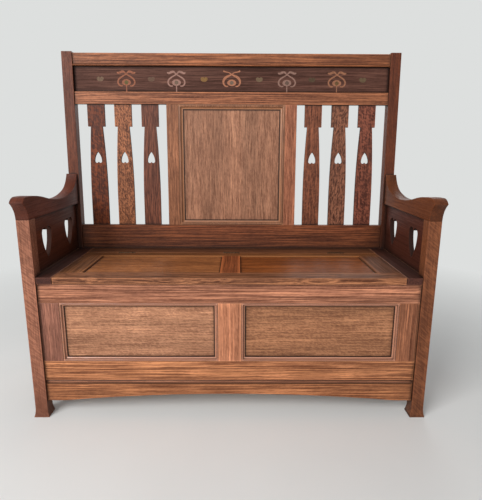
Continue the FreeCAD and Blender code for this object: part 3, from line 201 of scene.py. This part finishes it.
    # Dense wood is glossier than open grain. Sawn edges and end grain are darker, and dull.
    dull, glossy = roughness + 0.08, roughness - 0.05
    gloss = node(tree, "MapRange", [growth, *NOISE_SPAN, dull, glossy]).outputs["Result"]
    if planed or ends:
        axis = node(tree, "SeparateXYZ", [outward(tree)]).outputs[planed or grain]
        square = node(tree, "Math", [axis], operation="ABSOLUTE").outputs["Value"]
        soaked = (0.5, 0.75, SAWN_STAIN, 0.0) if planed else (0.3, 0.9, 0.0, ends)
        sawn = node(tree, "MapRange", [square, *soaked]).outputs["Result"]
        colour = cover(colour, linear(SAWN_EDGE), sawn, span=(0.0, 1.0), share=(0.0, 1.0))
        gloss = node(tree, "Math", [gloss, sawn], operation="MAXIMUM").outputs["Value"]

    relief = node(tree, "Math", [growth, pores], operation="SUBTRACT").outputs["Value"]
    bump = node(tree, "Bump", {"Height": relief, "Strength": PORE_RELIEF, "Distance": PORE_DEPTH})
    tree.links.new(colour, shader.inputs["Base Color"])
    tree.links.new(gloss, shader.inputs["Roughness"])
    tree.links.new(bump.outputs["Normal"], shader.inputs["Normal"])
    shader.inputs["IOR"].default_value = WAX_IOR
    shader.inputs["Specular IOR Level"].default_value = polish
    dress(piece, material, edge)


for side, leg_stain, foot in (("left", "#8B5A46", 0.6), ("right", "#76462D", 0.0)):
    oak(
        f"{side}_front_leg", "Z", leg_stain, lines=0.7, rays=0.5, fleck=(3.6, 30), slant=50,
        tilt=(0, 1, 0), contrast=1.1, foot=foot,
    )
    oak(f"{side}_rear_post", "Z", "#5E2F1B", rays=0.3)


# The front of the box is a frame of oak rails, stiles and a muntin. The rails are tenoned into the legs,
# and the uprights into the rails. These boards are redder and straighter in the grain than the panels.

for piece, grain, stain, lines in (
    ("front_top_rail", "X", "#9C674F", 1.9),
    ("front_bottom_rail", "X", "#A46B49", 1.9),
    ("front_left_stile", "Z", "#7E5243", 0.9),
    ("front_right_stile", "Z", "#8B583F", 1.1),
    ("front_centre_muntin", "Z", "#BB7C5C", 0.6),
):
    oak(piece, grain, stain, lines=lines, waver=0.003, rays=0.1, contrast=1.4, wear=0.6)


# The two front panels are wide, thin boards of browner oak, held without glue in grooves of the frame.
# Their rays show as small slanting flecks all over. A mitred oak moulding, a bead and a hollow polished
# by cloths, is pinned around each.

FORWARD = (0, -1, 0)
FRONT_PANEL_HIDDEN = 0.0195  # metres, the rim of a front panel that lies behind the frame and moulding


def edge_line(piece, face, sides, hidden=0.0, front=0.0, reach=0.003, colour=OLD_WAX_AND_SHADE, most=0.85):
    """Draw a soft line of colour along the sides of one face of a board, such as painted shade along a gap.

    face is the way that the face looks, and sides names the axes that the lined sides look along. hidden
    is how wide a rim of the board its frame covers, and front how much more it covers at the front, in
    metres. reach is how wide the line is, in metres, and most is how strong it is.
    """
    tree = nodes[piece].material_slots[0].material.node_tree
    shader = tree.nodes["Principled BSDF"]
    corners = [Vector(corner) for corner in nodes[piece].bound_box]
    low, high = (Vector([choose(c[axis] for c in corners) for axis in range(3)]) for choose in (min, max))
    low.y += front
    far_off = 1.0  # metres, so that no line shows along this axis
    half = [
        (high[axis] - low[axis]) / 2 - hidden if name in sides else far_off
        for axis, name in enumerate("XYZ")
    ]
    place = node(tree, "TexCoord").outputs["Object"]
    offset = node(tree, "VectorMath", [place, (low + high) / 2], operation="SUBTRACT").outputs["Vector"]
    away = node(tree, "VectorMath", [offset], operation="ABSOLUTE").outputs["Vector"]
    room = node(tree, "VectorMath", [half, away], operation="SUBTRACT").outputs["Vector"]
    gaps = node(tree, "SeparateXYZ", [room]).outputs
    least = node(tree, "Math", [gaps["X"], gaps["Y"]], operation="MINIMUM").outputs["Value"]
    least = node(tree, "Math", [least, gaps["Z"]], operation="MINIMUM").outputs["Value"]
    line = node(tree, "MapRange", [least, reach * 0.5, reach * 1.5, most, 0.0]).outputs["Result"]
    toward = node(tree, "VectorMath", [outward(tree), face], operation="DOT_PRODUCT").outputs["Value"]
    on_face = node(tree, "Math", [toward, 0.5], operation="GREATER_THAN").outputs["Value"]
    share = node(tree, "Math", [line, on_face], operation="MULTIPLY").outputs["Value"]
    wood = shader.inputs["Base Color"].links[0].from_socket
    lined = node(tree, "Mix", {0: share, 6: wood, 7: linear(colour)}, data_type="RGBA")
    tree.links.new(lined.outputs[2], shader.inputs["Base Color"])


# Each front panel has a dark line along its visible edges: old wax in the groove and painted shade under
# the moulding.
for side, stain in (("left", "#A6765A"), ("right", "#956649")):
    piece = f"front_{side}_panel"
    oak(
        piece, "X", stain, edge=0, lines=0.9, rays=0.3, fleck=(3.5, 12), slant=-22, contrast=1.3,
        dirt=0.02,
    )
    edge_line(piece, FORWARD, "XZ", hidden=FRONT_PANEL_HIDDEN)
oak(
    "front_panel_mouldings", "X", "#94644E", edge=0, rays=0, wear=0.9, dirt=0.008, roughness=0.28,
    polish=0.6,
)


# Under the bottom rail, a thin strip of oak with a half-round bead is glued on. Under that, the apron is
# one gently arched oak board, tenoned into the legs.

oak("front_apron_bead", "X", "#8E5E46", edge=0.0006, rays=0)
oak("front_apron", "X", "#955F3F", lines=1.9, waver=0.003, rays=0.15, contrast=1.3)


# Each side of the box has two oak rails, tenoned into the leg and the post, and a thin oak board that sits
# in grooves of all four.

for side in ("left", "right"):
    for rail in ("side_seat_rail", "side_bottom_rail"):
        oak(f"{side}_{rail}", "Y", "#94604A", rays=0.25)
    oak(f"{side}_side_panel", "Y", "#9C6F52", edge=0, lines=0.5, rays=0.5)


# The arms are shaped from thick oak, and hands have made them dark and rounded their edges. The oak board
# under each arm is pierced with two hearts, and sits in grooves of the arm, leg, post and side rail.

for side, arm_stain, panel_stain in (("left", "#64301F", "#63321F"), ("right", "#6F3B1D", "#4F281D")):
    oak(f"{side}_arm", "Y", arm_stain, edge=0.0025, lines=0.8, rays=0.2, ends=0.4, roughness=0.48)
    oak(f"{side}_arm_panel", "Y", panel_stain, lines=0.7, rays=0.2, planed="X")


# Four straight-grained oak rails cross the back and are tenoned into the posts: one behind the seat, one
# under and one over the frieze, and one low behind the box.

for piece, stain in (
    ("seat_back_rail", "#6E3C24"),
    ("frieze_lower_rail", "#845137"),
    ("back_top_rail", "#814D31"),
    ("back_bottom_rail", "#8C5840"),
):
    oak(piece, "X", stain, lines=1.9, waver=0.003, rays=0.15, contrast=1.4, wear=0.6)


# The frieze is one board of darker oak in grooves of the rails and posts. Scrolls, buds and small hearts of
# paler and tinted woods are let into it, flush with its face. Inlay wood has a fine, even grain without
# pores, so the eye sees clear flat shapes whose tint changes from one piece to the next.

FRIEZE_HALF = 0.566  # metres, half of the length that the inlays run along
FIBRE = 3.85  # mm, many times too coarse, so that it shows
FIBRE_TONES = (0.72, 1.18)  # of the wood's colour


def inlaid_wood(name, colours):
    """Fine-grained inlay wood, with a colour for each stretch of the frieze from left to right."""
    material = bpy.data.materials.new(name)
    material.use_nodes = True
    tree = material.node_tree
    shader = tree.nodes["Principled BSDF"]
    place = node(tree, "TexCoord").outputs["Object"]
    across = node(tree, "SeparateXYZ", [place]).outputs["X"]
    along = node(tree, "MapRange", [across, -FRIEZE_HALF, FRIEZE_HALF]).outputs["Result"]
    tint = node(tree, "ValToRGB", [along])
    ramp = tint.color_ramp
    ramp.interpolation = "CONSTANT"
    while len(ramp.elements) < len(colours):
        ramp.elements.new(1.0)
    for stretch, (start, colour) in zip(ramp.elements, colours):
        stretch.position = start
        stretch.color = linear(colour)
    fibre = node(tree, "TexNoise", {"Vector": place, "Scale": 1000 / FIBRE, "Detail": 2.0}).outputs["Fac"]
    shade = node(tree, "MapRange", [fibre, *NOISE_SPAN, *FIBRE_TONES]).outputs["Result"]
    shaded = node(
        tree, "Mix", {0: 1.0, 6: tint.outputs["Color"], 7: shade}, data_type="RGBA", blend_type="MULTIPLY"
    )
    tree.links.new(shaded.outputs[2], shader.inputs["Base Color"])
    shader.inputs["Roughness"].default_value = 0.5
    shader.inputs["IOR"].default_value = WAX_IOR
    shader.inputs["Specular IOR Level"].default_value = 0.12
    return material


oak("frieze_board", "X", "#52352C", edge=0, lines=1.5, rays=0.1, wear=0, roughness=0.56, polish=0.12)
pale_inlay = inlaid_wood(
    "pale_inlay",
    [(0.0, "#8A5640"), (0.25, "#926E62"), (0.42, "#A06A50"), (0.58, "#86665A"), (0.75, "#8E6048")],
)
dress("frieze_inlay_scrolls", pale_inlay, edge=0)
tinted_inlay = inlaid_wood(
    "tinted_inlay",
    [
        (0.0, "#66503F"), (0.12, "#5C5030"), (0.21, "#5E4638"), (0.29, "#6A5648"), (0.38, "#7A5A34"),
        (0.46, "#6A584A"), (0.54, "#685440"), (0.63, "#5E4A40"), (0.71, "#4C3C2C"), (0.79, "#60482E"),
        (0.88, "#5E4C38"),
    ],
)
dress("frieze_inlay_buds_and_hearts", tinted_inlay, edge=0)


# Six pierced oak slats fill the back beside the middle panel, housed in the rails above and below. Each
# is from a different board. The ray figure shows most on the second from the left, and the sawn edges are
# darker than the faces.

for number, stain, rays, fleck, slant in (
    (1, "#56260F", 0.6, (9, 40), 50),
    (2, "#7F4D33", 0.8, (4, 16), 28),
    (3, "#5F3526", 0.1, (5, 20), 20),
    (4, "#6F3F2B", 0.3, (6, 24), -40),
    (5, "#6C4332", 0.8, (3.6, 16), -18),
    (6, "#67382A", 0.6, (7, 26), 48),
):
    oak(
        f"back_slat_{number}", "Z", stain, lines=1.3, rays=rays, fleck=fleck, slant=slant, contrast=1.6,
        planed="Y",
    )


# The middle of the back is a wide panel of plainer oak. It sits in grooves of the rails and of two oak
# stiles, which are tenoned into the rails, and a mitred oak moulding is pinned around it.

CENTRE_PANEL_HIDDEN = 0.026  # metres, the rim of the panel that lies behind the frame and moulding
for side, stain in (("left", "#86563C"), ("right", "#A2664B")):
    oak(f"back_{side}_stile", "Z", stain, lines=1.6, rays=0.2)
oak(
    "back_centre_panel", "Z", "#966951", edge=0, lines=1.1, rays=0.25, fleck=(4, 14), slant=10,
    dirt=0.02,
)
# A dark line along the panel's visible edges is old wax in the groove and painted shade under the moulding.
edge_line("back_centre_panel", FORWARD, "XZ", hidden=CENTRE_PANEL_HIDDEN)
oak(
    "back_panel_moulding", "Z", "#85593F", edge=0, rays=0, wear=0.7, dirt=0.008, roughness=0.32,
    polish=0.35,
)


# The seat has oak strips fixed at its sides and back, and a lid that is a tenoned oak frame around two
# sunk panels. It is the most worn part, browner and more open in the grain. Shade of the gaps is painted
# along the lid's sides and around its panels, and the strips are pale where the lid rubs, with a painted
# highlight on their inner edges.

UPWARD = (0, 0, 1)
# Pale worn wood with a painted highlight, for the strips' inner edges beside the lid.
RUBBED_AND_LIT_EDGE = "#B07C60"
LID_PANEL_HIDDEN = 0.008  # metres, the rim of a lid panel that lies in its frame
LID_FRONT_HIDDEN = 0.013  # metres more at the front of the lid
# nook is how much painted shade each piece takes where other boards shelter it.
for piece, grain, stain, lines, waver, nook in (
    ("seat_left_fillet", "Y", "#45261E", 1.2, 0.006, 0.85),
    ("seat_right_fillet", "Y", "#45261E", 1.2, 0.006, 0.85),
    ("seat_hinge_rail", "X", "#6B432C", 1.8, 0.006, 0.85),
    ("lid_left_stile", "Y", "#764A2C", 1.4, 0.006, 0.35),
    ("lid_right_stile", "Y", "#6E4228", 1.4, 0.006, 0.35),
    ("lid_centre_muntin", "Y", "#8A4B2A", 0.9, 0.006, 0.85),
    ("lid_back_rail", "X", "#7A4C2C", 1.8, 0.006, 0.6),
    ("lid_front_rail", "X", "#815339", 2.2, 0.03, 0.85),
):
    oak(piece, grain, stain, lines=lines, waver=waver, rays=0.15, contrast=1.4, wear=0.9, nook=nook)
# Each lid stile has painted shade of the gap along its outer edge, and each strip a pale line of worn wood
# with a painted highlight.
for side in ("left", "right"):
    edge_line(f"lid_{side}_stile", UPWARD, "X", reach=0.002, most=0.7)
    edge_line(f"seat_{side}_fillet", UPWARD, "X", reach=0.002, colour=RUBBED_AND_LIT_EDGE, most=0.75)
# Painted shade of the gaps runs along the visible edges of each lid panel.
for side, stain in (("left", "#9C6239"), ("right", "#884A20")):
    piece = f"lid_{side}_panel"
    oak(piece, "X", stain, edge=0, lines=1.4, rays=0.25, fleck=(6, 30), slant=14, contrast=1.3, dirt=0.02)
    edge_line(piece, UPWARD, "XY", hidden=LID_PANEL_HIDDEN, front=LID_FRONT_HIDDEN)


# Inside, the box has a floor of softwood boards laid across two battens, a thin softwood board at the
# back, and a bearer under the strip that carries the hinges. All are planed and unstained, so they look
# paler, drier and plainer than the oak.

for piece, grain in (
    ("box_floor_boards", "Y"),
    ("box_floor_bearers", "X"),
    ("box_back_panel", "X"),
    ("hinge_rail_bearer", "X"),
):
    oak(piece, grain, "#AC8866", wood="planed_softwood", lines=0.8, rays=0, roughness=0.6, polish=0.12)


# Three steel butt hinges carry the lid on their pins, and countersunk steel screws hold their leaves. They
# have gone dull and brown, so the eye sees dark metal whose weak glints break up from spot to spot.

RUST = "#2A1E17"
RUST_SPOT = 5.56  # mm
RUST_DULLNESS = 0.2  # rougher than the bare steel


def old_steel(name, colour, roughness):
    """Browned steel: a metal that is darker and duller where rust has taken it."""
    material = bpy.data.materials.new(name)
    material.use_nodes = True
    tree = material.node_tree
    shader = tree.nodes["Principled BSDF"]
    place = node(tree, "TexCoord").outputs["Object"]
    spots = node(
        tree, "TexNoise", {"Vector": place, "Scale": 1000 / RUST_SPOT, "Detail": 4.0}
    ).outputs["Fac"]
    tone = node(tree, "ValToRGB", [spots])
    rusty, bright = tone.color_ramp.elements
    rusty.position, rusty.color = 0.35, linear(RUST)
    bright.position, bright.color = 0.62, linear(colour)
    dullness = node(tree, "MapRange", [spots, *NOISE_SPAN, roughness + RUST_DULLNESS, roughness])
    tree.links.new(tone.outputs["Color"], shader.inputs["Base Color"])
    tree.links.new(dullness.outputs["Result"], shader.inputs["Roughness"])
    shader.inputs["Metallic"].default_value = 1.0
    return material


hinge_steel = old_steel("browned_steel", "#5E4636", 0.5)
for piece in ("hinge_frame_leaves", "hinge_lid_leaves", "hinge_pins"):
    dress(piece, hinge_steel, edge=0.0003)
screw_steel = old_steel("dull_steel_screws", "#857A70", 0.38)
for piece in ("hinge_frame_screws", "hinge_lid_screws"):
    dress(piece, screw_steel, edge=0)


# The bench stands on a plain floor with pale, matt paint. Around the bench it keeps its shadow, and
# further away it turns into the colour of the wall.

WALL = "#DDDFDE"
FLOOR_SHADES = ("#E0E0DE", "#EBEBE9")
FLOOR_REACH = 6.0  # metres from the middle to each side
FLOOR_CLOUD = 500  # mm, slow changes of tone in the paint
NEAR, FAR = 0.8, 2.2  # metres from the middle, between which floor turns into wall


def seen_straight(tree):
    """1 for a ray from the camera, or one that gloss or glass sends on, and 0 for light on a surface."""
    rays = node(tree, "LightPath").outputs
    seen = node(tree, "Math", [rays["Is Camera Ray"], rays["Is Glossy Ray"]], operation="MAXIMUM")
    seen = node(tree, "Math", [seen.outputs["Value"], rays["Is Transmission Ray"]], operation="MAXIMUM")
    return seen.outputs["Value"]


floor_mesh = bpy.data.meshes.new("floor")
floor_corners = [(x * FLOOR_REACH, y * FLOOR_REACH, 0) for x, y in ((-1, -1), (1, -1), (1, 1), (-1, 1))]
floor_mesh.from_pydata(floor_corners, [], [(0, 1, 2, 3)])
floor = bpy.data.objects.new("floor", floor_mesh)
bpy.context.scene.collection.objects.link(floor)
floor_paint = bpy.data.materials.new("floor_paint")
floor_paint.use_nodes = True
paint = floor_paint.node_tree
matt = paint.nodes["Principled BSDF"]
matt.inputs["Roughness"].default_value = 0.7
floor_place = node(paint, "TexCoord").outputs["Object"]
clouds = node(paint, "TexNoise", {"Vector": floor_place, "Scale": 1000 / FLOOR_CLOUD, "Detail": 3.0})
shades = node(paint, "ValToRGB", [clouds.outputs["Fac"]])
for end, shade in zip(shades.color_ramp.elements, FLOOR_SHADES):
    end.color = linear(shade)
paint.links.new(shades.outputs["Color"], matt.inputs["Base Color"])
away = node(paint, "VectorMath", [floor_place], operation="LENGTH").outputs["Value"]
turning = node(paint, "MapRange", [away, NEAR, FAR]).outputs["Result"]
share = node(paint, "Math", [turning, seen_straight(paint)], operation="MULTIPLY").outputs["Value"]
wall_colour = node(paint, "Emission", {"Color": linear(WALL), "Strength": 1.0}).outputs["Emission"]
floor_or_wall = node(paint, "MixShader", [share, matt.outputs["BSDF"], wall_colour])
paint.links.new(floor_or_wall.outputs["Shader"], paint.nodes["Material Output"].inputs["Surface"])
floor_mesh.materials.append(floor_paint)


# Soft daylight comes from a large window on the left, a weaker one in front and one behind, and a little
# from all around. What is seen past the floor is the plain colour of the wall.

DAYLIGHT = "#F4F7FA"
DAYLIGHT_STRENGTH = 0.21
world = bpy.data.worlds.new("room")
world.use_nodes = True
bpy.context.scene.world = world
room = world.node_tree
sky = room.nodes["Background"]
sky.inputs["Color"].default_value = linear(DAYLIGHT)
sky.inputs["Strength"].default_value = DAYLIGHT_STRENGTH
wall = node(room, "Background", {"Color": linear(WALL), "Strength": 1.0}).outputs["Background"]
sky_or_wall = node(room, "MixShader", [seen_straight(room), sky.outputs["Background"], wall])
room.links.new(sky_or_wall.outputs["Shader"], room.nodes["World Output"].inputs["Surface"])


def window_light(name, place, aim, width, height, power):
    """A large soft light that faces a point."""
    lamp = bpy.data.lights.new(name, "AREA")
    lamp.shape = "RECTANGLE"
    lamp.size = width
    lamp.size_y = height
    lamp.energy = power
    light = bpy.data.objects.new(name, lamp)
    light.location = place
    light.rotation_mode = "QUATERNION"
    light.rotation_quaternion = (Vector(aim) - Vector(place)).to_track_quat("-Z", "Y")
    bpy.context.scene.collection.objects.link(light)


window_light("left_window", place=(-2.2, -2.8, 2.2), aim=(0, 0, 0.5), width=2.2, height=2.0, power=145)
window_light("front_window", place=(0.3, -3.3, 1.9), aim=(0, 0, 0.5), width=2.0, height=1.6, power=32)
window_light("back_window", place=(0.6, 3.2, 2.1), aim=(0, 0, 0.6), width=2.4, height=1.6, power=30)


# The camera stands close in front of the bench and looks slightly down. The picture is 482 pixels wide
# and 500 high, and the lens is worked out from the height, its longer side.

CAMERA_PLACE = Vector((0.0251, -1.4583, 0.8310))
PITCH, YAW, ROLL = math.radians(12.368), math.radians(0.3625), math.radians(0.2215)
IMAGE_HEIGHT = 500  # pixels
FOCAL_LENGTH = 439.96  # pixels
VIEW_SHIFT = -6.04  # pixels, downwards
SENSOR = 36  # mm
forward = Vector((math.sin(YAW) * math.cos(PITCH), math.cos(YAW) * math.cos(PITCH), -math.sin(PITCH)))
level_right = Vector((math.cos(YAW), -math.sin(YAW), 0))
level_up = level_right.cross(forward)
right = level_right * math.cos(ROLL) + level_up * math.sin(ROLL)
up = right.cross(forward)
camera_data = bpy.data.cameras.new("camera")
camera_data.sensor_width = SENSOR
camera_data.lens = FOCAL_LENGTH / IMAGE_HEIGHT * SENSOR
camera_data.shift_y = VIEW_SHIFT / IMAGE_HEIGHT
camera = bpy.data.objects.new("camera", camera_data)
turn = Matrix((right, up, -forward)).transposed()
camera.matrix_world = Matrix.Translation(CAMERA_PLACE) @ turn.to_4x4()
bpy.context.scene.collection.objects.link(camera)
bpy.context.scene.camera = camera
bpy.context.scene.view_settings.view_transform = "Standard"
